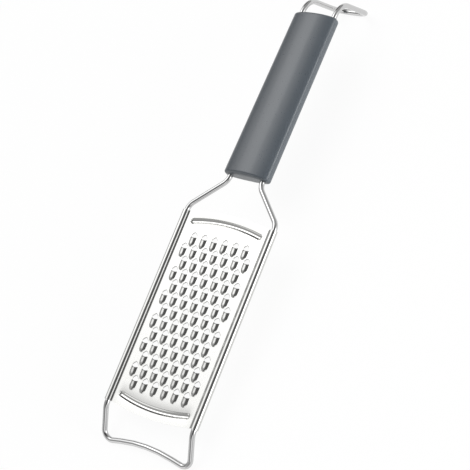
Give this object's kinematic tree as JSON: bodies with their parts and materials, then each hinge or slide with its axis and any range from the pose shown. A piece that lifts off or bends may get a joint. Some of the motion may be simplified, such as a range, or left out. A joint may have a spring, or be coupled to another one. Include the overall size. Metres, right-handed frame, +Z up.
{
  "type": "flat grater",
  "caption": "Flat hand grater: a steel blade with staggered hooded teeth rolled on to a bent wire frame that makes its foot and hanging loop, with a grey plastic handle.",
  "frame": {"origin": "middle of the underside of the whole tool as it rests on a table", "axes": "+Z up from the table, +Y from the foot towards the handle and hanging loop, +X to the right seen from the foot end"},
  "size_m": [0.07, 0.3178, 0.0427],
  "materials": {
    "steel_wire": "bright drawn and polished wire",
    "steel_sheet": "bright rolled stainless sheet",
    "handle_plastic": "fine satin moulded"
  },
  "bodies": {
    "root": {"wire_frame": "steel_wire", "blade": "steel_sheet", "handle": "handle_plastic"}
  },
  "joints": []
}
